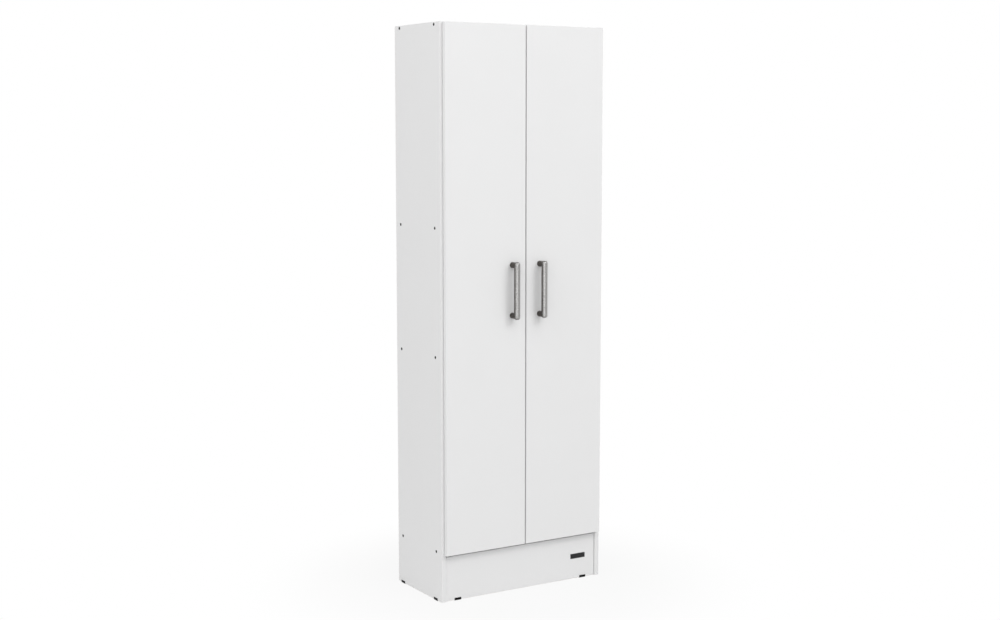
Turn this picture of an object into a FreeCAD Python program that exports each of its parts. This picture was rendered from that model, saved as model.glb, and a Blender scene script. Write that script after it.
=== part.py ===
import FreeCAD, Part
import os
from math import hypot, sqrt

# Broom cupboard of white board: a carcass on a plinth and two doors on concealed hinges.
# Millimetres. +X is to the right, +Y to the back, +Z up. The origin is on the floor,
# under the middle of the whole object, handles included.

# Boards of the carcass
carcass_width = 600.0
carcass_height = 1804.0
side_depth = 289.0
board = 15.0
edge_band = 0.5
plinth_height = 150.0
plinth_recess = 6.0
plinth_top_air = 8.0
plinth_end_air = 0.6
end_bay_height = 603.5
back_sheet = 3.0
back_margin = 2.0
back_joint = 2.0
shelf_air = 1.3

# Doors
door_thickness = 15.0
door_skin = 2.5
side_reveal = 9.0
top_reveal = 2.0
bottom_reveal = 2.0
meeting_gap = 4.5
swing_room = 0.3

# Bar handles
handle_tube = 19.0
handle_post = 18.6
handle_overrun = 10.5
handle_end_round = 7.0
handle_centres = 160.0
handle_standoff = 29.0
handle_from_middle = 51.0
handle_thread = 10.0
handle_hole_spare = 1.0

# Concealed hinges: cup in the door, arm and plate on the side panel
hinge_end_inset = 100.0
cup_bore = 35.0
cup_tab = 2.5
cup_fit = 0.1
cup_wall = 0.6
flange_thickness = 1.2
flange_width = 22.0
flange_length = 58.0
flange_rim = 1.5
flange_corner = 5.0
cup_screw_spacing = 45.0
pin_diameter = 2.0
pin_seat_fit = 0.02
pin_play = 0.05
pin_boss = 1.6
eye_radius = 1.6
eye_air = 0.3
arm_width = 7.0
arm_strip = 1.8
arm_air = 1.1
arm_side_air = 0.4
arm_seat_width = 16.0
arm_cheek = 1.2
arm_cheek_depth = 6.5
arm_cheek_air = 0.15
arm_taper = 10.0
plate_setback = 37.0
plate_length = 44.0
plate_wing = 2.0
plate_wing_depth = 14.0
plate_wing_length = 48.0
plate_wing_corner = 4.0
plate_screw_spacing = 32.0
clamp_screw_offset = 10.0

# Magnet catches under the top panel
catch_from_divider = 6.0
catch_length = 46.0
catch_body_length = 30.0
catch_depth = 18.0
catch_height = 12.0
catch_ear = 2.0
catch_ear_depth = 10.0
magnet_length = 24.0
magnet_height = 6.0
magnet_depth = 10.0
magnet_fit = 0.1
magnet_proud = 0.8
catch_air = 0.3
strike_thickness = 1.0
strike_length = 34.0

# Screws and nails
screw_front_inset = 35.5
screw_back_inset = 30.5
screw_fit = 0.1
cut_overrun = 5.0
board_screw_head = 9.5
board_screw_sink = 3.0
board_screw_shank = 5.0
board_screw_length = 45.0
board_screw_recess = 1.3
fitting_screw_head = 6.4
fitting_screw_sink = 2.2
fitting_screw_shank = 3.2
fitting_screw_length = 13.0
fitting_screw_recess = 1.0
machine_screw_head = 8.5
machine_screw_crown = 2.4
machine_screw_shank = 4.0
machine_screw_recess = 1.2
clamp_screw_length = 8.0
nail_head = 4.0
nail_crown = 0.8
nail_shank = 1.6
nail_length = 20.0
nail_tip = 2.0
nail_fit = 0.05
nail_from_joint = 4.0
nail_end_inset = 60.0
nails_per_edge = 7

# Plinth fittings and glides
bracket_leg = 25.0
bracket_width = 18.0
bracket_thickness = 2.0
bracket_hole = 15.0
bracket_from_middle = 150.0
glide_length = 24.0
glide_base = 2.0
glide_cheek = 1.0
glide_lip = 6.5
glide_fit = 0.05
glide_front_inset = 40.0
glide_back_inset = 30.0
plinth_glide_inset = 61.0

# Bare plate on the plinth
badge_length = 57.0
badge_height = 16.5
badge_thickness = 0.8
badge_corner = 1.5
badge_end_inset = 37.1

# Shares
tip_share = 0.25
recess_length_share = 0.6
recess_depth_share = 0.55
top_nail_shares = (0.3, 0.7)

Vec = FreeCAD.Vector
origin = Vec(0, 0, 0)
axis_x = Vec(1, 0, 0)
axis_y = Vec(0, 1, 0)
axis_z = Vec(0, 0, 1)

# The hinge sets the gap behind the door: its back corner swings past the side's front edge.
# u runs inwards from the door's outer edge, v is the depth under the door's back face.
cup_radius = cup_bore / 2 - cup_fit
cup_inside = cup_radius - cup_wall
cup_depth = door_thickness - door_skin
cup_u = cup_tab + cup_bore / 2
cup_wall_u = cup_u - sqrt(cup_inside ** 2 - (arm_width / 2) ** 2)
pivot_u = cup_wall_u + eye_air + eye_radius
pivot_v = cup_depth - cup_wall - eye_air - eye_radius
riser_u = pivot_u + pivot_v + arm_air
door_gap = hypot(pivot_u, pivot_v) - pivot_v + swing_room

# Places along the depth, from the front of the handles to the back sheets
handle_radius = handle_tube / 2
depth_overall = handle_standoff + handle_radius + door_thickness + door_gap + side_depth + back_sheet
back_y = depth_overall / 2
carcass_back_y = back_y - back_sheet
carcass_front_y = carcass_back_y - side_depth
door_back_y = carcass_front_y - door_gap
shelf_front_y = door_back_y + machine_screw_crown + shelf_air
door_front_y = door_back_y - door_thickness
handle_y = door_front_y - handle_standoff
screw_rows_y = (carcass_front_y + screw_front_inset, carcass_back_y - screw_back_inset)
plinth_front_y = carcass_front_y + plinth_recess
plinth_back_y = plinth_front_y + board

# Heights
side_bottom_z = glide_base
carcass_top_z = side_bottom_z + carcass_height
ceiling_z = carcass_top_z - board
floor_under_z = side_bottom_z + plinth_height
plinth_top_z = floor_under_z - plinth_top_air
floor_z = floor_under_z + board
lower_shelf_z = floor_z + end_bay_height
upper_shelf_z = ceiling_z - end_bay_height - board
door_bottom_z = floor_under_z + bottom_reveal
door_top_z = carcass_top_z - top_reveal
door_middle_z = (door_bottom_z + door_top_z) / 2
hinge_names = ("bottom", "middle", "top")
hinge_heights = (door_bottom_z + hinge_end_inset, door_middle_z, door_top_z - hinge_end_inset)

# Places across the width, for the left half
side_outer_x = -carcass_width / 2
side_inner_x = side_outer_x + board
plinth_end_x = side_inner_x + plinth_end_air
divider_x = -board / 2
door_outer_x = side_outer_x + side_reveal
door_inner_x = -meeting_gap / 2
cup_x = door_outer_x + cup_u
pivot_x = door_outer_x + pivot_u
pivot_y = door_back_y - pivot_v
riser_x = door_outer_x + riser_u
plate_y = carcass_front_y + plate_setback
plate_front_y = plate_y - plate_length / 2
plate_back_y = plate_y + plate_length / 2

pieces = {}
groups = {}
holes = {}


def box(x0, x1, y0, y1, z0, z1):
    """A block between two corners."""
    return Part.makeBox(x1 - x0, y1 - y0, z1 - z0, Vec(x0, y0, z0))


def rod(radius, start, end):
    """A round bar between two points."""
    along = end - start
    return Part.makeCylinder(radius, along.Length, start, along)


def sided(shape, side):
    """A left-hand shape as it is, or its mirror image for the right-hand side."""
    if side == "right":
        return shape.mirror(origin, axis_x)
    return shape


def turned(shape, at, into):
    """A shape drawn along +Z from the origin, moved to a place and turned to a direction."""
    copy = shape.copy()
    copy.Placement = FreeCAD.Placement(at, FreeCAD.Rotation(axis_z, into))
    return copy


def rounded(block, corner, along):
    """A block with the four edges that run along one direction rounded off."""
    ends = [(edge, edge.Vertexes[-1].Point - edge.Vertexes[0].Point) for edge in block.Edges]
    return block.makeFillet(corner, [edge for edge, run in ends if run.cross(along).Length == 0])


def cross_recess(head, width, top_z, bottom_z):
    """The cross-shaped socket in a screw's head, from its top down to its floor."""
    reach = head * recess_length_share / 2
    bar = box(-reach, reach, -width / 2, width / 2, top_z - cut_overrun, bottom_z)
    return bar.fuse(box(-width / 2, width / 2, -reach, reach, top_z - cut_overrun, bottom_z))


def sunk_screw(head, sink, shank, length, recess):
    """A countersunk screw along +Z from the middle of its head, and the tool for its hole."""
    tip = length * tip_share
    point = Vec(0, 0, length - tip)
    body = rod(shank / 2, origin, point)
    body = body.fuse([Part.makeCone(head / 2, shank / 2, sink), Part.makeCone(shank / 2, 0, tip, point)])
    body = body.cut(cross_recess(head, recess, 0, sink * recess_depth_share)).Solids[0]
    wide = shank / 2 + screw_fit
    tool = rod(wide, origin, Vec(0, 0, length + screw_fit))
    mouth = rod(head / 2 + screw_fit, Vec(0, 0, -cut_overrun), origin)
    tool = tool.fuse([Part.makeCone(head / 2 + screw_fit, wide, sink), mouth])
    return body, tool


def headed_screw(length):
    """A machine screw along +Z from under its raised head, and the tool for its hole."""
    crown = rod(machine_screw_head / 2, Vec(0, 0, -machine_screw_crown), origin)
    body = crown.fuse(rod(machine_screw_shank / 2, origin, Vec(0, 0, length)))
    socket_z = -machine_screw_crown * (1 - recess_depth_share)
    socket = cross_recess(machine_screw_head, machine_screw_recess, -machine_screw_crown, socket_z)
    tool = rod(machine_screw_shank / 2 + screw_fit, Vec(0, 0, -cut_overrun), Vec(0, 0, length + screw_fit))
    return body.cut(socket).Solids[0], tool


def panel_nail():
    """A flat-headed nail along +Z from the top of its head, and the tool for its hole."""
    point = Vec(0, 0, nail_length - nail_tip)
    head = rod(nail_head / 2, origin, Vec(0, 0, nail_crown))
    tip = Part.makeCone(nail_shank / 2, 0, nail_tip, point)
    body = head.fuse([rod(nail_shank / 2, origin, point), tip])
    tool = rod(nail_shank / 2 + nail_fit, origin, Vec(0, 0, nail_length))
    return body, tool.fuse(rod(nail_head / 2 + nail_fit, origin, Vec(0, 0, nail_crown)))


def drive(fastener, group, at, into, through, side="left"):
    """Adds one fastener to its group and its hole to each piece that it passes through."""
    solid, tool = fastener
    groups.setdefault(group, []).append(sided(turned(solid, at, into), side))
    for piece in through:
        holes.setdefault(piece, []).append(sided(turned(tool, at, into), side))


board_screw = sunk_screw(board_screw_head, board_screw_sink, board_screw_shank,
                         board_screw_length, board_screw_recess)
fitting_screw = sunk_screw(fitting_screw_head, fitting_screw_sink, fitting_screw_shank,
                           fitting_screw_length, fitting_screw_recess)
handle_screw = headed_screw(door_thickness + handle_thread)
clamp_screw = headed_screw(clamp_screw_length)
back_nail = panel_nail()


def add_board(node, x0, x1, z0, z1, front_y=carcass_front_y):
    """A carcass board from its front to the back, with a band glued on its front edge."""
    core_front_y = front_y + edge_band
    pieces[node] = box(x0, x1, core_front_y, carcass_back_y, z0, z1)
    band = box(x0, x1, front_y, core_front_y, z0, z1)
    groups.setdefault("carcass_edge_bands", []).append(band)


# Carcass boards
add_board("left_side_panel", side_outer_x, side_inner_x, side_bottom_z, carcass_top_z)
add_board("right_side_panel", -side_inner_x, -side_outer_x, side_bottom_z, carcass_top_z)
add_board("top_panel", side_inner_x, -side_inner_x, ceiling_z, carcass_top_z)
add_board("bottom_panel", side_inner_x, -side_inner_x, floor_under_z, floor_z)
add_board("divider_panel", divider_x, -divider_x, floor_z, ceiling_z)
for shelf_node, shelf_z in (("upper_shelf", upper_shelf_z), ("lower_shelf", lower_shelf_z)):
    add_board(shelf_node, side_inner_x, divider_x, shelf_z, shelf_z + board, shelf_front_y)
pieces["plinth_board"] = box(plinth_end_x, -plinth_end_x, plinth_front_y, plinth_back_y,
                             side_bottom_z, plinth_top_z)

# Screws through the sides, through the top and bottom into the divider,
# and through the divider into the shelves
for row_y in screw_rows_y:
    for end_node, end_z in (("top_panel", ceiling_z), ("bottom_panel", floor_under_z)):
        for side in ("left", "right"):
            drive(board_screw, side + "_side_screws", Vec(side_outer_x, row_y, end_z + board / 2), axis_x,
                  (side + "_side_panel", end_node), side)
    for shelf_node, shelf_z in (("upper_shelf", upper_shelf_z), ("lower_shelf", lower_shelf_z)):
        middle_z = shelf_z + board / 2
        drive(board_screw, "left_side_screws", Vec(side_outer_x, row_y, middle_z), axis_x,
              ("left_side_panel", shelf_node))
        drive(board_screw, "shelf_screws", Vec(-divider_x, row_y, middle_z), -axis_x,
              ("divider_panel", shelf_node))
    drive(board_screw, "divider_screws", Vec(0, row_y, carcass_top_z), -axis_z,
          ("top_panel", "divider_panel"))
    drive(board_screw, "divider_screws", Vec(0, row_y, floor_under_z), axis_z,
          ("bottom_panel", "divider_panel"))

# Back: two thin sheets nailed over the back edges, meeting on the divider
back_outer_x = side_outer_x + back_margin
back_inner_x = -back_joint / 2
back_top_z = carcass_top_z - back_margin
nail_first_z = floor_under_z + nail_end_inset
nail_step = (back_top_z - nail_end_inset - nail_first_z) / (nails_per_edge - 1)
for side in ("left", "right"):
    sheet_node = "back_sheet_" + side
    sheet = box(back_outer_x, back_inner_x, carcass_back_y, back_y, floor_under_z, back_top_z)
    pieces[sheet_node] = sided(sheet, side)
    for count in range(nails_per_edge):
        nail_z = nail_first_z + count * nail_step
        for nail_x, panel in ((side_outer_x + board / 2, side + "_side_panel"),
                              (-nail_from_joint, "divider_panel")):
            drive(back_nail, "back_nails", Vec(nail_x, back_y, nail_z), -axis_y, (sheet_node, panel), side)
    cross_boards = [("top_panel", ceiling_z), ("bottom_panel", floor_under_z)]
    if side == "left":
        cross_boards += [("upper_shelf", upper_shelf_z), ("lower_shelf", lower_shelf_z)]
    for panel, panel_z in cross_boards:
        for share in top_nail_shares:
            nail_x = side_inner_x + share * (divider_x - side_inner_x)
            drive(back_nail, "back_nails", Vec(nail_x, back_y, panel_z + board / 2), -axis_y,
                  (sheet_node, panel), side)


def add_bracket(corner, first, second, first_board, second_board, side):
    """An angle bracket in the corner of two boards, with a leg screwed to each of them."""
    half = bracket_width / 2
    leg = box(0, bracket_leg, 0, bracket_thickness, -half, half)
    other_leg = box(0, bracket_thickness, 0, bracket_leg, -half, half)
    bracket = leg.fuse(other_leg).removeSplitter()
    turn = FreeCAD.Rotation(first, second, first.cross(second), "XYZ")
    bracket.Placement = FreeCAD.Placement(corner, turn)
    tools = []
    for along, away, panel in ((first, second, first_board), (second, first, second_board)):
        place = corner + along * bracket_hole + away * bracket_thickness
        drive(fitting_screw, "plinth_bracket_screws", place, -away, (panel,), side)
        tools.append(turned(fitting_screw[1], place, -away))
    groups.setdefault("plinth_brackets", []).append(sided(bracket.cut(tools).Solids[0], side))


# Plinth: cut a little small for its opening, and held from behind by angle brackets
# to the bottom panel and to the sides
for side in ("left", "right"):
    add_bracket(Vec(-bracket_from_middle, plinth_back_y, floor_under_z), -axis_z, axis_y,
                "plinth_board", "bottom_panel", side)
    add_bracket(Vec(side_inner_x, plinth_back_y, side_bottom_z + plinth_height / 2), axis_x, axis_y,
                "plinth_board", side + "_side_panel", side)

# Glides: shoes pressed over the lower edges of the sides and of the plinth
shoe_half = glide_length / 2
grip = glide_fit + glide_cheek
shoe_top_z = glide_base + glide_lip
side_shoe_places = (carcass_front_y + glide_front_inset, carcass_back_y - glide_back_inset)
plinth_shoe_x = side_outer_x + plinth_glide_inset
for side in ("left", "right"):
    for shoe_y in side_shoe_places:
        shoe = box(side_outer_x - grip, side_inner_x + grip, shoe_y - shoe_half, shoe_y + shoe_half,
                   0, shoe_top_z)
        slot = box(side_outer_x - glide_fit, side_inner_x + glide_fit, shoe_y - glide_length,
                   shoe_y + glide_length, glide_base, shoe_top_z + cut_overrun)
        groups.setdefault("side_glides", []).append(sided(shoe.cut(slot).Solids[0], side))
    shoe = box(plinth_shoe_x - shoe_half, plinth_shoe_x + shoe_half, plinth_front_y - grip,
               plinth_back_y + grip, 0, shoe_top_z)
    slot = box(plinth_shoe_x - glide_length, plinth_shoe_x + glide_length, plinth_front_y - glide_fit,
               plinth_back_y + glide_fit, glide_base, shoe_top_z + cut_overrun)
    groups.setdefault("plinth_glides", []).append(sided(shoe.cut(slot).Solids[0], side))

# Bare plate glued to the plinth, near its right end
badge_right_x = -side_inner_x - badge_end_inset
badge_low_z = side_bottom_z + (plinth_height - badge_height) / 2
badge = box(badge_right_x - badge_length, badge_right_x, plinth_front_y - badge_thickness, plinth_front_y,
            badge_low_z, badge_low_z + badge_height)
pieces["badge_plate"] = rounded(badge, badge_corner, axis_y)


def door_slab(side):
    """A door board with bands glued round its four edges."""
    core = box(door_outer_x + edge_band, door_inner_x - edge_band, door_front_y, door_back_y,
               door_bottom_z + edge_band, door_top_z - edge_band)
    pieces[side + "_door_panel"] = sided(core, side)
    inner_left = door_outer_x + edge_band
    inner_right = door_inner_x - edge_band
    strips = (
        (door_outer_x, inner_left, door_bottom_z, door_top_z),
        (inner_right, door_inner_x, door_bottom_z, door_top_z),
        (inner_left, inner_right, door_bottom_z, door_bottom_z + edge_band),
        (inner_left, inner_right, door_top_z - edge_band, door_top_z),
    )
    for x0, x1, z0, z1 in strips:
        strip = box(x0, x1, door_front_y, door_back_y, z0, z1)
        groups.setdefault(side + "_door_edge_bands", []).append(sided(strip, side))


def bar_handle(side):
    """A round bar with rounded ends on two posts, cast in one and screwed on through the door."""
    ends = [Vec(-handle_from_middle, handle_y, door_middle_z + way * handle_centres / 2) for way in (-1, 1)]
    bar = rod(handle_radius, ends[0] - axis_z * handle_overrun, ends[1] + axis_z * handle_overrun)
    rims = [edge for edge in bar.Edges if edge.Vertexes[0].Point.z == edge.Vertexes[-1].Point.z]
    posts = [rod(handle_post / 2, Vec(end.x, door_front_y, end.z), end) for end in ends]
    solid = bar.makeFillet(handle_end_round, rims).fuse(posts).removeSplitter()
    for end in ends:
        seat = Vec(end.x, door_back_y, end.z)
        drive(handle_screw, side + "_handle_screws", seat, -axis_y, (side + "_door_panel",), side)
        inside = Vec(end.x, door_front_y - handle_thread - handle_hole_spare, end.z)
        mouth = Vec(end.x, door_front_y + cut_overrun, end.z)
        thread = rod(machine_screw_shank / 2 + screw_fit, mouth, inside)
        solid = solid.cut(thread).Solids[0]
    pieces[side + "_handle"] = sided(solid, side)


def hinge_cup(z, node, side):
    """The drawn cup let into the door, with its screw flange and the two bosses that hold the pin."""
    mouth = Vec(cup_x, door_back_y, z)
    outside = rod(cup_radius, mouth, mouth - axis_y * cup_depth)
    inside = rod(cup_inside, mouth + axis_y * cut_overrun, mouth - axis_y * (cup_depth - cup_wall))
    half = arm_width / 2 + arm_side_air
    bosses = []
    for way in (-1, 1):
        ends = sorted((z + way * half, z + way * (half + pin_boss)))
        boss = box(pivot_x - cup_radius, pivot_x + eye_radius, door_back_y - cup_depth, pivot_y + eye_radius,
                   ends[0], ends[1])
        bosses.append(boss.common(outside))
    flange = box(cup_x - flange_width / 2, cup_x + flange_width / 2, door_back_y,
                 door_back_y + flange_thickness, z - flange_length / 2, z + flange_length / 2)
    rim = rod(cup_radius + flange_rim, mouth, mouth + axis_y * flange_thickness)
    inner_half = box(cup_x - flange_width / 2, cup_x + cup_bore, door_back_y, door_back_y + flange_thickness,
                     z - cup_bore, z + cup_bore)
    flange = rounded(flange, flange_corner, axis_y).fuse(rim.common(inner_half))
    cup = outside.fuse(flange).cut(inside).fuse(bosses)
    pin_reach = axis_z * (half + pin_boss)
    centre = Vec(pivot_x, pivot_y, z)
    pin_hole = rod(pin_diameter / 2 + pin_seat_fit, centre - pin_reach, centre + pin_reach)
    tools = [pin_hole]
    for way in (-1, 1):
        place = Vec(cup_x, door_back_y + flange_thickness, z + way * cup_screw_spacing / 2)
        drive(fitting_screw, side + "_door_screws", place, -axis_y, (side + "_door_panel",), side)
        tools.append(turned(fitting_screw[1], place, -axis_y))
    pieces[node] = sided(cup.cut(tools).Solids[0], side)
    pin = rod(pin_diameter / 2, centre - pin_reach, centre + pin_reach)
    groups.setdefault(side + "_hinge_pins", []).append(sided(pin, side))
    bore = rod(cup_bore / 2, mouth + axis_y * cut_overrun, mouth - axis_y * (cup_depth + cup_fit))
    holes.setdefault(side + "_door_panel", []).append(sided(bore, side))


def hinge_arm(z, arm_node, plate_node, side):
    """The bent arm from the pin to its channel, and the plate that carries it on the side panel."""
    low_z = z - arm_width / 2
    high_z = z + arm_width / 2
    foot_back_y = pivot_y + arm_strip / 2
    foot_front_y = pivot_y - arm_strip / 2
    outer_x = riser_x + arm_strip
    foot = box(pivot_x, riser_x, foot_front_y, foot_back_y, low_z, high_z)
    bend_centre = Vec(riser_x, foot_back_y, low_z)
    bend = Part.makeCylinder(arm_strip, arm_width, bend_centre, axis_z)
    bend = bend.common(box(riser_x, outer_x, foot_front_y, foot_back_y, low_z, high_z))
    riser = box(riser_x, outer_x, foot_back_y, plate_back_y, low_z, high_z)
    seat_half = arm_seat_width / 2
    seat = box(riser_x, outer_x, plate_front_y, plate_back_y, z - seat_half, z + seat_half)
    cheek_x = riser_x - arm_cheek_depth
    cheeks = [box(cheek_x, riser_x, plate_front_y, plate_back_y, edge_z, edge_z + arm_cheek)
              for edge_z in (z - seat_half, z + seat_half - arm_cheek)]
    taper_y = plate_front_y - arm_taper
    outline = [Vec(riser_x, taper_y, low_z), Vec(riser_x, plate_front_y, z - seat_half),
               Vec(riser_x, plate_front_y, z + seat_half), Vec(riser_x, taper_y, high_z)]
    taper = Part.Face(Part.makePolygon(outline + outline[:1])).extrude(axis_x * arm_strip)
    eye = Part.makeCylinder(eye_radius, arm_width, Vec(pivot_x, pivot_y, low_z), axis_z)
    eye_bore = rod(pin_diameter / 2 + pin_play, Vec(pivot_x, pivot_y, low_z - cut_overrun),
                   Vec(pivot_x, pivot_y, high_z + cut_overrun))
    clamp_place = Vec(outer_x, plate_y + clamp_screw_offset, z)
    drive(clamp_screw, "hinge_arm_screws", clamp_place, -axis_x, (arm_node, plate_node), side)
    arm = foot.fuse([bend, riser, taper, seat, eye] + cheeks).removeSplitter().cut(eye_bore)
    pieces[arm_node] = sided(arm.Solids[0], side)

    block_half = seat_half - arm_cheek - arm_cheek_air
    block = box(side_inner_x, riser_x, plate_front_y, plate_back_y, z - block_half, z + block_half)
    wings = box(side_inner_x, side_inner_x + plate_wing, plate_y - plate_wing_depth / 2,
                plate_y + plate_wing_depth / 2, z - plate_wing_length / 2, z + plate_wing_length / 2)
    wings = rounded(wings, plate_wing_corner, axis_x)
    pieces[plate_node] = sided(block.fuse(wings).removeSplitter(), side)
    for way in (-1, 1):
        place = Vec(side_inner_x + plate_wing, plate_y, z + way * plate_screw_spacing / 2)
        drive(fitting_screw, "hinge_plate_screws", place, -axis_x, (plate_node, side + "_side_panel"), side)


def magnet_catch(side):
    """A magnet in a moulded case under the top panel, and its steel strike on the door."""
    catch_x = divider_x - catch_from_divider - catch_length / 2
    magnet_front_y = door_back_y + strike_thickness + catch_air
    case_front_y = magnet_front_y + magnet_proud
    low_z = ceiling_z - catch_height
    magnet_z = ceiling_z - catch_height / 2
    body = box(catch_x - catch_body_length / 2, catch_x + catch_body_length / 2, case_front_y,
               case_front_y + catch_depth, low_z, ceiling_z)
    ear_y = case_front_y + catch_depth / 2
    ears = box(catch_x - catch_length / 2, catch_x + catch_length / 2, ear_y - catch_ear_depth / 2,
               ear_y + catch_ear_depth / 2, ceiling_z - catch_ear, ceiling_z)
    pocket_half = magnet_length / 2 + magnet_fit
    pocket = box(catch_x - pocket_half, catch_x + pocket_half, case_front_y - cut_overrun,
                 magnet_front_y + magnet_depth, magnet_z - magnet_height / 2 - magnet_fit,
                 magnet_z + magnet_height / 2 + magnet_fit)
    case_node = side + "_catch_case"
    pieces[case_node] = sided(body.fuse(ears).removeSplitter().cut(pocket).Solids[0], side)
    magnet = box(catch_x - magnet_length / 2, catch_x + magnet_length / 2, magnet_front_y,
                 magnet_front_y + magnet_depth, magnet_z - magnet_height / 2, magnet_z + magnet_height / 2)
    groups.setdefault("catch_magnets", []).append(sided(magnet, side))
    ear_middle = (catch_length + catch_body_length) / 4
    for way in (-1, 1):
        place = Vec(catch_x + way * ear_middle, ear_y, ceiling_z - catch_ear)
        drive(fitting_screw, "catch_screws", place, axis_z, (case_node, "top_panel"), side)
    strike = box(catch_x - strike_length / 2, catch_x + strike_length / 2, door_back_y,
                 door_back_y + strike_thickness, low_z, ceiling_z)
    strike_node = side + "_catch_strike"
    pieces[strike_node] = sided(strike, side)
    place = Vec(catch_x, door_back_y + strike_thickness, magnet_z)
    drive(fitting_screw, side + "_door_screws", place, -axis_y, (strike_node, side + "_door_panel"), side)


# Doors, with their handles, hinges and catches
for side in ("left", "right"):
    door_slab(side)
    bar_handle(side)
    for name, height in zip(hinge_names, hinge_heights):
        hinge = side + "_" + name + "_hinge"
        hinge_cup(height, hinge + "_cup", side)
        hinge_arm(height, hinge + "_arm", hinge + "_plate", side)
    magnet_catch(side)

os.makedirs("parts", exist_ok=True)
for node, solid in pieces.items():
    if node in holes:
        solid = solid.cut(holes[node]).Solids[0]
    solid.exportStep("parts/" + node + ".step")
for node, solids in groups.items():
    Part.makeCompound(solids).exportStep("parts/" + node + ".step")
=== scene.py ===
from math import radians

import bpy
import numpy as np
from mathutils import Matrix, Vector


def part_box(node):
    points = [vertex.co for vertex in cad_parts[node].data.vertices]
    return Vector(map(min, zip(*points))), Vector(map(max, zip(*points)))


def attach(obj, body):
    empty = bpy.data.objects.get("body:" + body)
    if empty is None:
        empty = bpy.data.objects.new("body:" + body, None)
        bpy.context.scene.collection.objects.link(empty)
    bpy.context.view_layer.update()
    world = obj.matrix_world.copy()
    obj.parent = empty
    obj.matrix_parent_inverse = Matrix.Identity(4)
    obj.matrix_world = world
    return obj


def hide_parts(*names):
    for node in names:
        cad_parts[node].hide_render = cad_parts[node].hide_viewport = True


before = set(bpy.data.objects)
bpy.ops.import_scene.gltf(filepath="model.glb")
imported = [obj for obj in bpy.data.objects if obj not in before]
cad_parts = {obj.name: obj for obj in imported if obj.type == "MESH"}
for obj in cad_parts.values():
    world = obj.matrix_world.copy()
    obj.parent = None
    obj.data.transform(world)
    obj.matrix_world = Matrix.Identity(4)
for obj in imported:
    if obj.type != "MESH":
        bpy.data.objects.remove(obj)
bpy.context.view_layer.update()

# Carcass boards
# Sides, top, bottom, divider, shelves and plinth are particle board faced with white melamine,
# pressed against a finely textured plate. Back edges and lower edges are left bare.
banded_boards = ("left_side_panel", "right_side_panel", "top_panel", "bottom_panel", "divider_panel",
                 "upper_shelf", "lower_shelf")
skin = 0.0002
facing_depth = 0.0003
facing_grain_share = 0.08
facing_sheen = (0.36, 0.48)
bare_dulling = 0.4
facing_grey = (0.80, 0.80, 0.80, 1)
facing_white = (0.82, 0.82, 0.822, 1)
chip_brown = (0.36, 0.23, 0.12, 1)
chip_straw = (0.62, 0.46, 0.29, 1)
chip_pit = (0.2, 0.12, 0.06, 1)


def put(tree, kind, sockets=None, **settings):
    """Adds one shader node. A socket given another node's output is linked, any other value is set."""
    made = tree.nodes.new("ShaderNode" + kind)
    for name, value in settings.items():
        setattr(made, name, value)
    for name, value in (sockets or {}).items():
        if isinstance(value, bpy.types.NodeSocket):
            tree.links.new(value, made.inputs[name])
        else:
            made.inputs[name].default_value = value
    return made


def calc(tree, operation, first, second=0.0):
    """One sum on two values."""
    return put(tree, "Math", {0: first, 1: second}, operation=operation).outputs[0]


def object_place(tree):
    """The place on the piece, in metres."""
    return put(tree, "TexCoord").outputs["Object"]


def new_group(name, inputs, outputs):
    """An empty node group with named number inputs and named outputs, and its two end nodes."""
    tree = bpy.data.node_groups.new(name, "ShaderNodeTree")
    for label, default in inputs.items():
        socket = tree.interface.new_socket(name=label, in_out="INPUT", socket_type="NodeSocketFloat")
        socket.default_value = default
    for label, kind in outputs.items():
        tree.interface.new_socket(name=label, in_out="OUTPUT", socket_type="NodeSocket" + kind)
    return tree, tree.nodes.new("NodeGroupInput").outputs, tree.nodes.new("NodeGroupOutput").inputs


# The textured plate's mark: soft pimples of about a millimetre, and a faint clouding.
press_grain, given, result = new_group(
    "press_grain", {"Grain Size": 0.0012, "Cloud Size": 0.15}, {"Height": "Float", "Cloud": "Float"})
place = object_place(press_grain)
grain_scale = calc(press_grain, "DIVIDE", 1.0, given["Grain Size"])
pimple = put(press_grain, "TexNoise",
             {"Vector": place, "Scale": grain_scale, "Detail": 2.0, "Roughness": 0.45})
cloud_scale = calc(press_grain, "DIVIDE", 1.0, given["Cloud Size"])
cloud = put(press_grain, "TexNoise", {"Vector": place, "Scale": cloud_scale, "Detail": 4.0})
press_grain.links.new(pimple.outputs[0], result["Height"])
press_grain.links.new(cloud.outputs[0], result["Cloud"])


def mixed(tree, factor, first, second):
    """The colour that runs from first to second as the factor goes from 0 to 1."""
    made = tree.nodes.new("ShaderNodeMix")
    made.data_type = "RGBA"
    for place, value in ((0, factor), (6, first), (7, second)):
        if isinstance(value, bpy.types.NodeSocket):
            tree.links.new(value, made.inputs[place])
        else:
            made.inputs[place].default_value = value
    return made.outputs[2]


def risen(tree, value, low, high, most=1.0):
    """0 where the value is low or less, rising evenly to the most where it is high or more."""
    sockets = {"Value": value, "From Min": low, "From Max": high, "To Max": most}
    return put(tree, "MapRange", sockets).outputs[0]


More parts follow.
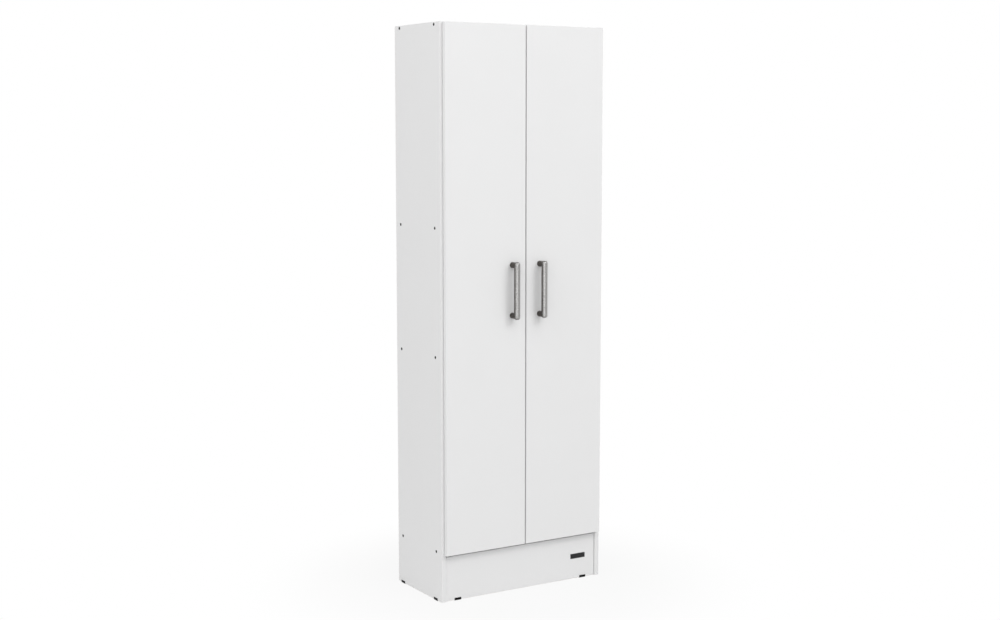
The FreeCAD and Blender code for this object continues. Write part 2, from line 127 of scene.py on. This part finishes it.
# Pressed wood chips: flat cells of many browns, with dark pits between them.
wood_chips, given, result = new_group(
    "wood_chips", {"Chip Size": 0.0024}, {"Colour": "Color", "Height": "Float"})
place = object_place(wood_chips)
chip_scale = calc(wood_chips, "DIVIDE", 1.0, given["Chip Size"])
chips = put(wood_chips, "TexVoronoi", {"Vector": place, "Scale": chip_scale, "Randomness": 1.0})
strands = put(wood_chips, "TexNoise",
              {"Vector": place, "Scale": chip_scale, "Detail": 6.0, "Distortion": 1.5})
chip_tone = put(wood_chips, "SeparateColor", {"Color": chips.outputs["Color"]}).outputs[0]
chip_colour = mixed(wood_chips, chip_tone, chip_brown, chip_straw)
chip_top = risen(wood_chips, strands.outputs[0], low=0.3, high=0.5)
wood_chips.links.new(mixed(wood_chips, chip_top, chip_pit, chip_colour), result["Colour"])
wood_chips.links.new(chip_top, result["Height"])


def new_finish(name, **sockets):
    """A material with its shader, whose fixed values are set on the shader's own sockets."""
    material = bpy.data.materials.new(name)
    material.use_nodes = True
    shader = material.node_tree.nodes["Principled BSDF"]
    for label, value in sockets.items():
        shader.inputs[label.replace("_", " ")].default_value = value
    return material, material.node_tree, shader.inputs


def spread(tree, value, low, high):
    """A value between 0 and 1 spread between two others."""
    return put(tree, "MapRange", {"Value": value, "To Min": low, "To Max": high}).outputs[0]


def raise_surface(tree, shader, height, depth):
    """Bump of a real depth in metres on the shader's normal."""
    bump = put(tree, "Bump", {"Height": height, "Distance": depth})
    tree.links.new(bump.outputs[0], shader["Normal"])


def melamine(name, bare_back, bare_low):
    """White facing, with bare chips behind a depth (along +Y) and under a height, both in metres."""
    material, tree, shader = new_finish(name)
    grain = put(tree, "Group", node_tree=press_grain).outputs
    core = put(tree, "Group", node_tree=wood_chips).outputs
    place = put(tree, "SeparateXYZ", {0: object_place(tree)}).outputs
    bare = calc(tree, "MAXIMUM", calc(tree, "GREATER_THAN", place["Y"], bare_back),
                calc(tree, "LESS_THAN", place["Z"], bare_low))
    facing = mixed(tree, grain["Cloud"], facing_grey, facing_white)
    tree.links.new(mixed(tree, bare, facing, core["Colour"]), shader["Base Color"])
    roughness = calc(tree, "ADD", spread(tree, grain["Cloud"], *facing_sheen),
                     calc(tree, "MULTIPLY", bare, bare_dulling))
    tree.links.new(roughness, shader["Roughness"])
    height = calc(tree, "ADD", calc(tree, "MULTIPLY", grain["Height"], facing_grain_share),
                  calc(tree, "MULTIPLY", bare, core["Height"]))
    raise_surface(tree, shader, height, facing_depth)
    return material


def dress(material, *names):
    """Puts a material on CAD nodes."""
    for name in names:
        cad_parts[name].material_slots[0].material = material


# What lies within a skin of the sides' back plane or of their lower plane is a bare edge.
low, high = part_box("left_side_panel")
carcass_white = melamine("melamine_carcass", high.y - skin, low.z + skin)
dress(carcass_white, *banded_boards, "plinth_board")

# Edge bands of the carcass
# A strip of white plastic glued on the front edge of each board but the plinth, its two outer
# arrises broken by the trimmer.
band = 0.0005
arris = 0.0004
arris_points = 5
band_crease = radians(50)
hairline = 0.00005
band_depth = 0.00002
band_sheen = (0.28, 0.4)
band_grey = (0.79, 0.79, 0.79, 1)
band_pale = (0.81, 0.81, 0.812, 1)


def band_profile(width):
    """Section of a band: glued face at 0, then a quarter circle at each outer arris."""
    turn = np.linspace(0.0, np.pi / 2, arris_points)
    lead = np.column_stack((band - arris + arris * np.sin(turn), arris - arris * np.cos(turn)))
    tail = np.column_stack((lead[::-1, 0], width - lead[::-1, 1]))
    return np.vstack(([[0.0, 0.0]], lead, tail, [[0.0, width]]))


def band_strips(name, strips):
    """Band profiles carried straight from start to end. Each strip is (start, end, out, across), where
    across spans the board's edge and out points away from its core. Both ends are closed."""
    points = []
    faces = []
    count = 0
    for start, end, out, across in strips:
        start, end, out, across = (np.array(v, float) for v in (start, end, out, across))
        width = np.linalg.norm(across)
        section = band_profile(width)
        ring = section[:, :1] * out + section[:, 1:] * across / width
        points += [start + ring, end + ring]
        size = len(ring)
        near = count + np.arange(size)
        following = count + np.roll(np.arange(size), -1)
        walls = np.column_stack((near, following, following + size, near + size))
        caps = [near[::-1], near + size]
        if np.dot(np.cross(out, across), end - start) < 0:
            walls = walls[:, ::-1]
            caps = [near, near[::-1] + size]
        faces += walls.tolist() + [cap.tolist() for cap in caps]
        count += 2 * size
    mesh = bpy.data.meshes.new(name)
    mesh.from_pydata(np.vstack(points).tolist(), [], faces)
    mesh.shade_smooth()
    mesh.set_sharp_from_angle(angle=band_crease)
    mesh.materials.append(band_white)
    piece = bpy.data.objects.new(name, mesh)
    bpy.context.scene.collection.objects.link(piece)
    return piece


# A finer grain than the facing's, and a closer sheen.
band_white, tree, shader = new_finish("white_edge_band")
grain = put(tree, "Group", {"Grain Size": 0.0009, "Cloud Size": 0.06}, node_tree=press_grain).outputs
tree.links.new(mixed(tree, grain["Cloud"], band_grey, band_pale), shader["Base Color"])
tree.links.new(spread(tree, grain["Cloud"], *band_sheen), shader["Roughness"])
raise_surface(tree, shader, grain["Height"], band_depth)

# The strips end a hairline short of the boards' ends, clear of the bands that they meet.
front_strips = []
for name in banded_boards:
    low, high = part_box(name)
    size = high - low
    if size.x < size.z:
        start, end = (low.x, low.y, low.z + hairline), (low.x, low.y, high.z - hairline)
        front_strips.append((start, end, (0, -1, 0), (size.x, 0, 0)))
    else:
        start, end = (low.x + hairline, low.y, low.z), (high.x - hairline, low.y, low.z)
        front_strips.append((start, end, (0, -1, 0), (0, 0, size.z)))
front_bands = band_strips("carcass_bands", front_strips)
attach(front_bands, "carcass")
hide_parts("carcass_edge_bands")

# Board screws
# Blackened countersunk wood screws through the sides, the top and bottom and the divider.
# The blacking is dull and a little uneven.


def speckled(name, scale, detail, dark, pale, sheen, depth=0.0, **sockets):
    """A finish whose colour and sheen follow one fine noise, and its surface too where it has a depth."""
    material, tree, shader = new_finish(name, **sockets)
    place = object_place(tree)
    speck = put(tree, "TexNoise", {"Vector": place, "Scale": scale, "Detail": detail}).outputs[0]
    tree.links.new(mixed(tree, speck, dark, pale), shader["Base Color"])
    tree.links.new(spread(tree, speck, *sheen), shader["Roughness"])
    if depth:
        raise_surface(tree, shader, speck, depth)
    return material


screw_black = speckled(
    "blackened_screw", scale=700.0, detail=3.0, sheen=(0.45, 0.7), Specular_IOR_Level=0.08,
    dark=(0.002, 0.002, 0.0025, 1), pale=(0.009, 0.0085, 0.008, 1))
dress(screw_black, "left_side_screws", "right_side_screws", "divider_screws", "shelf_screws")

# Back sheets
# Two sheets of thin hardboard nailed on. The inner face is lacquered white, the outer face is bare
# brown fibre with the mark of the press screen.
fibre_dark = (0.19, 0.112, 0.06, 1)
fibre_pale = (0.36, 0.24, 0.145, 1)
tuft_pale = (0.38, 0.255, 0.155, 1)
stain_brown = (0.20, 0.12, 0.068, 1)
bark_brown = (0.07, 0.04, 0.024, 1)
lacquer_grey = (0.755, 0.755, 0.745, 1)
lacquer_white = (0.80, 0.80, 0.79, 1)
lacquer_to_fibre_sheen = (0.4, 0.72)
tuft_dulling = 0.14
lacquer_to_fibre_height = (0.12, 1.0)
screen_depth = 0.00012

low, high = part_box("back_sheet_left")
hardboard, tree, shader = new_finish("hardboard")
place = object_place(tree)
depth = put(tree, "SeparateXYZ", {0: place}).outputs["Y"]
outside = calc(tree, "GREATER_THAN", depth, low.y + skin)
fibre = put(tree, "TexNoise",
            {"Vector": place, "Scale": 260.0, "Detail": 8.0, "Distortion": 2.0}).outputs[0]
tuft = put(tree, "TexNoise", {"Vector": place, "Scale": 34.0, "Detail": 6.0, "Roughness": 0.7}).outputs[0]
stain = put(tree, "TexNoise", {"Vector": place, "Scale": 3.5, "Detail": 4.0}).outputs[0]
bark = put(tree, "TexNoise", {"Vector": place, "Scale": 420.0, "Detail": 1.0}).outputs[0]
brown = mixed(tree, fibre, fibre_dark, fibre_pale)
brown = mixed(tree, risen(tree, tuft, low=0.35, high=0.7, most=0.6), brown, tuft_pale)
brown = mixed(tree, risen(tree, stain, low=0.4, high=0.65, most=0.35), brown, stain_brown)
brown = mixed(tree, risen(tree, bark, low=0.66, high=0.7, most=0.7), brown, bark_brown)
lacquer = mixed(tree, tuft, lacquer_grey, lacquer_white)
tree.links.new(mixed(tree, outside, lacquer, brown), shader["Base Color"])
sheen = calc(tree, "ADD", spread(tree, outside, *lacquer_to_fibre_sheen),
             calc(tree, "MULTIPLY", tuft, tuft_dulling))
tree.links.new(sheen, shader["Roughness"])
screen = put(tree, "TexVoronoi", {"Vector": place, "Scale": 650.0, "Randomness": 0.25}).outputs["Distance"]
pressed = calc(tree, "MULTIPLY", spread(tree, outside, *lacquer_to_fibre_height),
               calc(tree, "ADD", fibre, screen))
raise_surface(tree, shader, pressed, screen_depth)
dress(hardboard, "back_sheet_left", "back_sheet_right")

# Bright fittings
# Nails, brackets, hinges, pins, strikes and the small screws are pressed steel with a nickel plate
# that shows faint drawing lines and small cloudy spots.
nickel_grey = (0.50, 0.49, 0.475, 1)
nickel_pale = (0.66, 0.655, 0.645, 1)
nickel_sheen = (0.2, 0.42)
drawing_depth = 0.00002

nickel, tree, shader = new_finish("nickel_plate", Metallic=1.0)
place = object_place(tree)
drawn = put(tree, "Mapping", {"Vector": place, "Scale": (900.0, 900.0, 60.0)}).outputs[0]
line = put(tree, "TexNoise", {"Vector": drawn, "Scale": 1.0, "Detail": 4.0}).outputs[0]
spot = put(tree, "TexNoise", {"Vector": place, "Scale": 220.0, "Detail": 3.0}).outputs[0]
tree.links.new(mixed(tree, spot, nickel_grey, nickel_pale), shader["Base Color"])
tree.links.new(spread(tree, line, *nickel_sheen), shader["Roughness"])
raise_surface(tree, shader, line, drawing_depth)
fittings = ["back_nails", "plinth_brackets", "plinth_bracket_screws", "hinge_arm_screws",
            "hinge_plate_screws", "catch_screws"]
door_fittings = ("door_screws", "handle_screws", "hinge_pins", "catch_strike")
for side in ("left", "right"):
    fittings += [f"{side}_{piece}" for piece in door_fittings]
    for level in ("bottom", "middle", "top"):
        fittings += [f"{side}_{level}_hinge_{piece}" for piece in ("arm", "cup", "plate")]
dress(nickel, *fittings)

# Glides
# Black moulded shoes with rounded soles, pressed over the lower edges of the sides and of the plinth,
# so that the boards stand clear of the floor.
shoe_length = 0.024
shoe_width = 0.0171
shoe_height = 0.0085
shoe_wall = 0.00105
shoe_sole = 0.002
shoe_rim_fall = 0.0004
shoe_corner = 0.0018
slot_corner = 0.0003
shoe_corner_points = 6
shoe_crease = radians(40)
end_steps = np.array((0.0, 0.0003, 0.001))
end_draw_in = np.array((0.0006, 0.0002, 0.0))


def shoe_section(half, rise, corner, base):
    """Half open section of a shoe, from one top over a rounded corner and the base to the other top."""
    turn = np.linspace(0.0, np.pi / 2, shoe_corner_points)
    bend = np.column_stack((corner - half - corner * np.cos(turn), base + corner - corner * np.sin(turn)))
    return np.vstack(([[-half, rise]], bend, bend[::-1] * (-1, 1), [[half, rise]]))


def glide_shoes(name, node, body, centres, along, across):
    """Shoes at their centres. Two sections, the outside and the slot, are carried along the board and
    joined by the two rims and by a strip at each end. The outside draws in a little at the ends."""
    outside = shoe_section(shoe_width / 2, shoe_height - shoe_rim_fall, shoe_corner, 0.0)
    slot = shoe_section(shoe_width / 2 - shoe_wall, shoe_height, slot_corner, shoe_sole)
    half = shoe_length / 2
    stations = np.concatenate((end_steps - half, half - end_steps[::-1]))
    draw_in = np.concatenate((end_draw_in, end_draw_in[::-1]))
    size, count = len(outside), len(stations)
    outer = np.stack([outside - np.sign(outside) * (d, 0) + (0, d) * (outside[:, 1:] < d) for d in draw_in])
    shell = np.concatenate((outer, np.broadcast_to(slot, outer.shape)), axis=1)
    i, j = np.meshgrid(np.arange(count - 1), np.arange(2 * size), indexing="ij")
    order = np.concatenate((np.arange(size), np.arange(2 * size - 1, size - 1, -1)))
    near, following = order[j], order[(j + 1) % (2 * size)]
    walls = np.stack((i * 2 * size + near, i * 2 * size + following,
                      (i + 1) * 2 * size + following, (i + 1) * 2 * size + near), axis=-1).reshape(-1, 4)
    k = np.arange(size - 1)
    first_end = np.column_stack((k, size + k, size + k + 1, k + 1))
    last_end = first_end[:, ::-1] + (count - 1) * 2 * size
    shoe_faces = np.vstack((walls, first_end, last_end))
    along, across = np.array(along, float), np.array(across, float)
    places = stations[:, None, None] * along + shell[..., :1] * across + shell[..., 1:] * (0, 0, 1)
    places = places.reshape(-1, 3)
    if np.dot(np.cross(along, across), (0, 0, 1)) < 0:
        shoe_faces = shoe_faces[:, ::-1]
    mesh = bpy.data.meshes.new(name)
    mesh.from_pydata(np.vstack([places + (x, y, 0) for x, y in centres]).tolist(), [],
                     np.vstack([shoe_faces + n * len(places) for n in range(len(centres))]).tolist())
    mesh.shade_smooth()
    mesh.set_sharp_from_angle(angle=shoe_crease)
    mesh.materials.append(glide_black)
    shoes = bpy.data.objects.new(name, mesh)
    bpy.context.scene.collection.objects.link(shoes)
    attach(shoes, body)
    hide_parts(node)


glide_black = speckled(
    "black_moulding", scale=1500.0, detail=2.0, sheen=(0.42, 0.6), depth=0.00004,
    Specular_IOR_Level=0.12, dark=(0.003, 0.003, 0.003, 1), pale=(0.008, 0.008, 0.0085, 1))
low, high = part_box("side_glides")
glide_shoes("side_shoes", "side_glides", "carcass",
            [(x, y) for x in (low.x + shoe_width / 2, high.x - shoe_width / 2)
             for y in (low.y + shoe_length / 2, high.y - shoe_length / 2)], (0, 1, 0), (1, 0, 0))
low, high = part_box("plinth_glides")
glide_shoes("plinth_shoes", "plinth_glides", "carcass",
            [(x, (low.y + high.y) / 2) for x in (low.x + shoe_length / 2, high.x - shoe_length / 2)],
            (1, 0, 0), (0, 1, 0))

# Plate on the plinth
# A small dark plate with rounded corners and a broken rim, brushed lengthways and left bare.
# It is glued on the plinth near its right end.
plate_corner = 0.0015
plate_bevel = 0.0003
plate_ease = 0.00009
plate_corner_points = 7
plate_crease = radians(30)
plate_sheen = (0.35, 0.55)
plate_black = (0.005, 0.005, 0.006, 1)
plate_grey = (0.014, 0.014, 0.015, 1)
brushing_depth = 0.00002


def plate_outline(low, high, inset):
    """A rectangle with a quarter circle at each corner, drawn in by an inset."""
    turn = np.linspace(0.0, np.pi / 2, plate_corner_points)
    ring = []
    for quarter, (x, z) in enumerate(((high.x, high.z), (low.x, high.z), (low.x, low.z), (high.x, low.z))):
        angle = turn + quarter * np.pi / 2
        inward = np.array((np.sign(low.x + high.x - 2 * x), np.sign(low.z + high.z - 2 * z)))
        middle = np.array((x, z)) + inward * plate_corner
        ring.append(middle + (plate_corner - inset) * np.column_stack((np.cos(angle), np.sin(angle))))
    return np.vstack(ring)


plate_dark, tree, shader = new_finish("dark_plate", Specular_IOR_Level=0.3)
brushed = put(tree, "Mapping", {"Vector": object_place(tree), "Scale": (60.0, 900.0, 2400.0)}).outputs[0]
line = put(tree, "TexNoise", {"Vector": brushed, "Scale": 1.0, "Detail": 3.0}).outputs[0]
tree.links.new(mixed(tree, line, plate_black, plate_grey), shader["Base Color"])
tree.links.new(spread(tree, line, *plate_sheen), shader["Roughness"])
raise_surface(tree, shader, line, brushing_depth)

# Rings from the glued back over the side and the broken rim to the face, each an inset and a depth.
low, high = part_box("badge_plate")
steps = ((0.0, high.y), (0.0, low.y + plate_bevel), (plate_ease, low.y + plate_ease), (plate_bevel, low.y))
rings = [np.insert(plate_outline(low, high, inset), 1, depth, axis=1) for inset, depth in steps]
size = len(rings[0])
last = len(rings) - 1
near = np.arange(size)
following = np.roll(near, -1)
strip = np.column_stack((near, following, following + size, near + size))
plate_faces = np.vstack([size * ring + strip for ring in range(last)]).tolist()
plate_faces += [near[::-1].tolist(), (near + last * size).tolist()]
plate_mesh = bpy.data.meshes.new("bare_plate")
plate_mesh.from_pydata(np.vstack(rings).tolist(), [], plate_faces)
plate_mesh.shade_smooth()
plate_mesh.set_sharp_from_angle(angle=plate_crease)
plate_mesh.materials.append(plate_dark)
plate = bpy.data.objects.new("bare_plate", plate_mesh)
bpy.context.scene.collection.objects.link(plate)
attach(plate, "carcass")
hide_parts("badge_plate")

# Doors
# Two slabs of the same faced board, banded round all four edges, so that no chips show.
# Each hangs on three hinges at its outer edge.
low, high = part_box("left_door_panel")
door_white = melamine("melamine_door", high.y + skin, low.z - skin)
for side in ("left", "right"):
    dress(door_white, side + "_door_panel")
    (x0, y0, z0), (x1, y1, z1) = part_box(side + "_door_edge_bands")
    edge = (0, y1 - y0, 0)
    strips = (
        ((x0 + band, y0, z0), (x0 + band, y0, z1), (-1, 0, 0), edge),
        ((x1 - band, y0, z0), (x1 - band, y0, z1), (1, 0, 0), edge),
        ((x0 + band, y0, z0 + band), (x1 - band, y0, z0 + band), (0, 0, -1), edge),
        ((x0 + band, y0, z1 - band), (x1 - band, y0, z1 - band), (0, 0, 1), edge),
    )
    bands = band_strips(side + "_door_bands", strips)
    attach(bands, side + "_door")
    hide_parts(side + "_door_edge_bands")

# Handles
# Cast bars on two posts with a mottled pewter finish. Its colour holds painted light as well as the antique
# finish:
# a painted highlight along the front of the bar, and painted shade at its ends, on the posts and behind.
# Depths from the bar's front and its ends, and the colours, of the painted highlight and the painted shade.
rub_and_highlight_depth = 0.003
patina_and_shade_depth = 0.010
patina_and_shade_end = 0.004
rub_and_highlight_dark = (0.16, 0.157, 0.153, 1)
rub_and_highlight_pale = (0.50, 0.497, 0.49, 1)
patina_and_shade_dark = (0.055, 0.048, 0.043, 1)
patina_and_shade_pale = (0.11, 0.10, 0.092, 1)
pewter_sheen = (0.26, 0.42)
cast_depth = 0.0001

low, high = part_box("left_handle")
pewter, tree, shader = new_finish("pewter", Metallic=1.0)
place = object_place(tree)
blot = put(tree, "TexNoise", {"Vector": place, "Scale": 300.0, "Detail": 5.0, "Roughness": 0.65}).outputs[0]
mottle = risen(tree, blot, low=0.28, high=0.72)
dimple = put(tree, "TexVoronoi", {"Vector": place, "Scale": 500.0}).outputs["Distance"]
along = put(tree, "SeparateXYZ", {0: place}).outputs
# Painted shade: darker with depth behind the bar's front and near its ends. The front keeps a painted
# highlight.
behind = put(tree, "MapRange",
             {"Value": along["Y"], "From Min": low.y + rub_and_highlight_depth, "From Max": low.y + patina_and_shade_depth},
             interpolation_type="SMOOTHSTEP").outputs[0]
from_end = calc(tree, "MINIMUM", calc(tree, "SUBTRACT", along["Z"], low.z),
                calc(tree, "SUBTRACT", high.z, along["Z"]))
at_end = calc(tree, "SUBTRACT", 1.0, risen(tree, from_end, 0.0, patina_and_shade_end))
rub_and_highlight = mixed(tree, mottle, rub_and_highlight_dark, rub_and_highlight_pale)
patina_and_shade = mixed(tree, mottle, patina_and_shade_dark, patina_and_shade_pale)
# The mask of the painted shade, which is behind the bar's front and at its ends.
hidden = calc(tree, "MAXIMUM", behind, at_end)
tree.links.new(mixed(tree, hidden, rub_and_highlight, patina_and_shade), shader["Base Color"])
tree.links.new(spread(tree, mottle, *pewter_sheen), shader["Roughness"])
raise_surface(tree, shader, calc(tree, "ADD", mottle, dimple), cast_depth)
dress(pewter, "left_handle", "right_handle")

# Catches
# White moulded cases screwed up under the top, each with a dark ferrite magnet that holds the
# door's steel strike when the door is shut.
case_white = speckled(
    "white_moulding", scale=1400.0, detail=2.0, sheen=(0.34, 0.5), depth=0.00003,
    dark=(0.72, 0.72, 0.70, 1), pale=(0.77, 0.77, 0.75, 1))
dress(case_white, "left_catch_case", "right_catch_case")
ferrite = speckled(
    "ferrite", scale=2500.0, detail=2.0, sheen=(0.45, 0.65), depth=0.00004, Metallic=0.4,
    dark=(0.03, 0.03, 0.032, 1), pale=(0.09, 0.09, 0.09, 1))
dress(ferrite, "catch_magnets")

# Floor, light and camera
# A white floor that keeps a soft shadow near the cupboard, an even white room, soft lamps in front, at
# both sides, above and beside the camera, and a camera at the photograph's viewing angle.
floor_half = 8.0
floor_grey = (0.52, 0.52, 0.52, 1)
shadow_near = 0.3
shadow_far = 0.9
shadow_glow = 0.9
room_strength = 0.51
lamp_spread = radians(42)
camera_lens = 55.31
camera_place = (-2.600, -4.2152, 1.4831)
camera_fall = radians(6.716)
camera_turn = radians(-31.535)

floor_mesh = bpy.data.meshes.new("floor")
corners = np.array([(-1, -1, 0), (1, -1, 0), (1, 1, 0), (-1, 1, 0)], float) * floor_half
floor_mesh.from_pydata(corners.tolist(), [], [(0, 1, 2, 3)])
floor = bpy.data.objects.new("floor", floor_mesh)
bpy.context.scene.collection.objects.link(floor)


def seen_directly(tree):
    """1 for what the camera sees, also in metal or through glass, and 0 for the light on the object."""
    path = put(tree, "LightPath").outputs
    return calc(tree, "MAXIMUM", calc(tree, "MAXIMUM", path["Is Camera Ray"], path["Is Glossy Ray"]),
                path["Is Transmission Ray"])


floor_white = bpy.data.materials.new("floor_white")
floor_white.use_nodes = True
tree = floor_white.node_tree
tree.nodes.remove(tree.nodes["Principled BSDF"])
away = put(tree, "VectorMath", {0: object_place(tree)}, operation="LENGTH").outputs["Value"]
bright = put(tree, "MapRange",
             {"Value": away, "From Min": shadow_near, "From Max": shadow_far, "To Min": shadow_glow},
             interpolation_type="SMOOTHSTEP").outputs[0]
glow = put(tree, "Emission", {"Color": (1, 1, 1, 1), "Strength": 1.0})
matt = put(tree, "BsdfDiffuse", {"Color": floor_grey})
surface = put(tree, "MixShader", {0: calc(tree, "MULTIPLY", bright, seen_directly(tree)),
                                  1: matt.outputs[0], 2: glow.outputs[0]})
tree.links.new(surface.outputs[0], tree.nodes["Material Output"].inputs["Surface"])
floor_mesh.materials.append(floor_white)

room = bpy.data.worlds.new("white_room")
room.use_nodes = True
tree = room.node_tree
strength = spread(tree, seen_directly(tree), room_strength, 1.0)
tree.links.new(strength, tree.nodes["Background"].inputs["Strength"])
tree.nodes["Background"].inputs["Color"].default_value = (1, 1, 1, 1)
bpy.context.scene.world = room


def hang(name, lamp, towards):
    """Hangs a lamp, hidden from the camera, so that it shines along a direction."""
    piece = bpy.data.objects.new(name, lamp)
    x, y, z = towards
    piece.rotation_euler = (np.arctan2(np.hypot(x, y), -z), 0, np.arctan2(-x, y))
    piece.visible_camera = False
    bpy.context.scene.collection.objects.link(piece)
    return piece


def far_lamp(name, azimuth, elevation, strength):
    """A soft lamp far away, placed by its bearing from the front and its height, in degrees."""
    lamp = bpy.data.lights.new(name, "SUN")
    lamp.energy = strength
    lamp.angle = lamp_spread
    turn, rise = radians(azimuth), radians(elevation)
    hang(name, lamp, (-np.sin(turn) * np.cos(rise), np.cos(turn) * np.cos(rise), -np.sin(rise)))


def box_lamp(name, at, towards, width, height, power):
    """A soft box that shines from one point towards another."""
    lamp = bpy.data.lights.new(name, "AREA")
    lamp.shape = "RECTANGLE"
    lamp.size = width
    lamp.size_y = height
    lamp.energy = power
    hang(name, lamp, np.subtract(towards, at)).location = at


far_lamp("front_lamp", azimuth=3, elevation=46, strength=0.87)
far_lamp("side_lamp", azimuth=-100, elevation=30, strength=0.78)
box_lamp("camera_box", at=(-2.95, -4.75, 0.95), towards=(0.0, -0.1, 1.0),
         width=4.8, height=1.8, power=53.0)
box_lamp("door_box", at=(1.7, -3.3, 3.4), towards=(0.2, -0.1, 0.8),
         width=2.0, height=1.2, power=33.0)
box_lamp("top_box", at=(-2.3, -0.9, 3.0), towards=(-0.3, 0.0, 1.7),
         width=0.6, height=0.6, power=7.4)

camera = bpy.data.cameras.new("camera")
camera.sensor_width = 36.0
camera.lens = camera_lens
viewer = bpy.data.objects.new("camera", camera)
viewer.location = camera_place
viewer.rotation_euler = (radians(90) - camera_fall, 0, camera_turn)
bpy.context.scene.collection.objects.link(viewer)
bpy.context.scene.camera = viewer
bpy.context.scene.view_settings.view_transform = "Standard"
